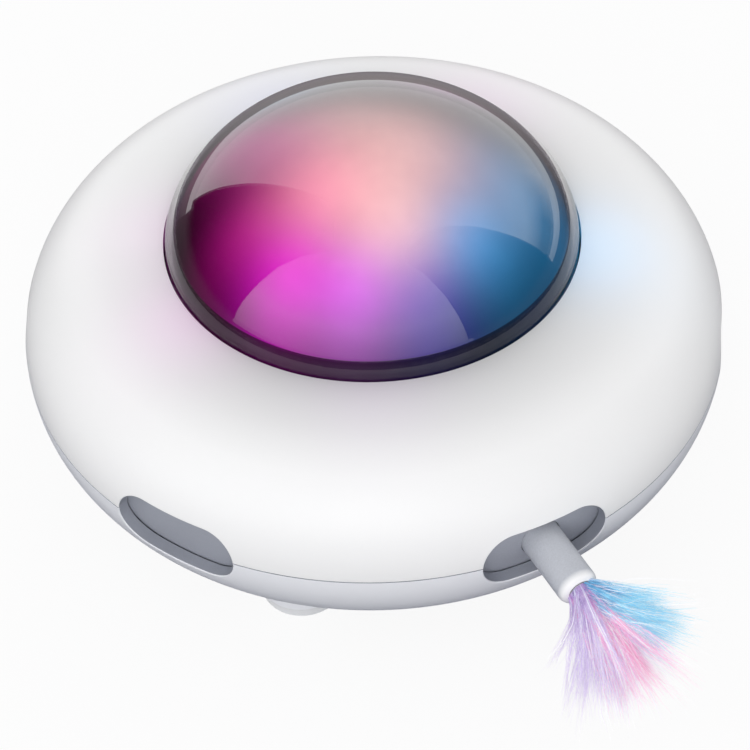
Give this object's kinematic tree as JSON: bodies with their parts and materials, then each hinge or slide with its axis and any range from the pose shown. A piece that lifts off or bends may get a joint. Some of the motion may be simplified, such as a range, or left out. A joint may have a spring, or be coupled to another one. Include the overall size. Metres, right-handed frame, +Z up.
{
  "type": "automatic cat feather toy",
  "caption": "Round saucer-shaped cat toy whose turning drum pushes a feather wand out of slots in its rim, under a smoked dome with a glowing lamp.",
  "frame": {"origin": "on the floor, under the turning axis of the drum, in the middle of the four feet", "axes": "+Z up along the turning axis, -Y along the extended wand, +X towards the charge socket"},
  "size_m": [0.185, 0.237, 0.1031],
  "materials": {
    "shell_white": "satin gloss",
    "lens_smoke": "polished, smoked",
    "bezel_black": "matt",
    "diffuser_frost": "frosted",
    "gasket_rubber": "matt",
    "foot_rubber": "matt",
    "inner_plastic": "moulded",
    "drum_grey": "satin",
    "wand_grey": "satin",
    "gear_acetal": "moulded",
    "steel": "bright",
    "bronze": "sintered",
    "copper_gold": "plated",
    "board_green": "solder mask",
    "chip_black": "moulded",
    "led_white": "moulded",
    "cell_wrap": "shrink wrap",
    "button_grey": "satin",
    "feather_fluff": "soft, dyed"
  },
  "bodies": {
    "base": {"lower_shell": "shell_white", "upper_shell": "shell_white", "rubber_feet": "foot_rubber", "dome_lens": "lens_smoke", "lens_gasket": "gasket_rubber", "lens_bezel": "bezel_black", "light_diffuser": "diffuser_frost", "lamp_tray": "inner_plastic", "tray_screws": "steel", "led_board": "board_green", "led_screws": "steel", "leds": "led_white", "axle_pin": "steel", "thrust_washer": "bezel_black", "axle_clip": "steel", "drive_motor": "steel", "motor_screws": "steel", "battery_cell": "cell_wrap", "battery_strap": "inner_plastic", "strap_screws": "steel", "control_board": "board_green", "board_screws": "steel", "board_chips": "chip_black", "vibration_sensor": "copper_gold", "tact_switch": "chip_black", "charge_socket": "steel", "brush_holder": "chip_black", "contact_brushes": "copper_gold"},
    "button": {"power_button": "button_grey"},
    "drive": {"drive_shaft": "steel", "drive_pinion": "gear_acetal"},
    "turntable": {"turntable": "drum_grey", "axle_bush": "bronze", "turntable_gear": "gear_acetal", "gear_screws": "steel", "slip_ring_board": "board_green", "slip_tracks": "copper_gold", "slip_screws": "steel", "guide_channel": "inner_plastic", "guide_screws": "steel", "slide_motor": "steel", "motor_bracket": "steel", "bracket_screws": "steel", "gearbox_screws": "steel"},
    "slide_drive": {"slide_shaft": "steel", "slide_pinion": "gear_acetal"},
    "wand": {"wand_carriage": "inner_plastic", "wand_tube": "wand_grey", "feather_plug": "inner_plastic", "feather_tuft": "feather_fluff"}
  },
  "joints": [
    {"name": "turntable_turn", "type": "hinge", "parent": "base", "child": "turntable", "pos_m": [0, 0, 0], "axis": [0, 0, 1], "range_deg": [-7, 7]},
    {"name": "drive_pinion_turn", "type": "hinge", "parent": "base", "child": "drive", "pos_m": [0, 0.036, 0], "axis": [0, 0, 1], "range_deg": [-35.5, 35.5]},
    {"name": "wand_slide", "type": "slide", "parent": "turntable", "child": "wand", "axis": [0, -1, 0], "range_m": [-0.065, 0], "deforming": ["feather_tuft"]},
    {"name": "slide_pinion_turn", "type": "hinge", "parent": "turntable", "child": "slide_drive", "pos_m": [0, 0.011, 0.049], "axis": [1, 0, 0], "range_deg": [-0.5, 621.5]},
    {"name": "power_button_press", "type": "slide", "parent": "base", "child": "button", "axis": [0, 0, 1], "range_m": [0, 0.0008], "stiffness_N_per_m": 1500}
  ],
  "couplings": [
    {"joint": "drive_pinion_turn", "follows": "turntable_turn", "ratio": -5},
    {"joint": "slide_pinion_turn", "follows": "wand_slide", "rad_per_m": -166.67}
  ]
}
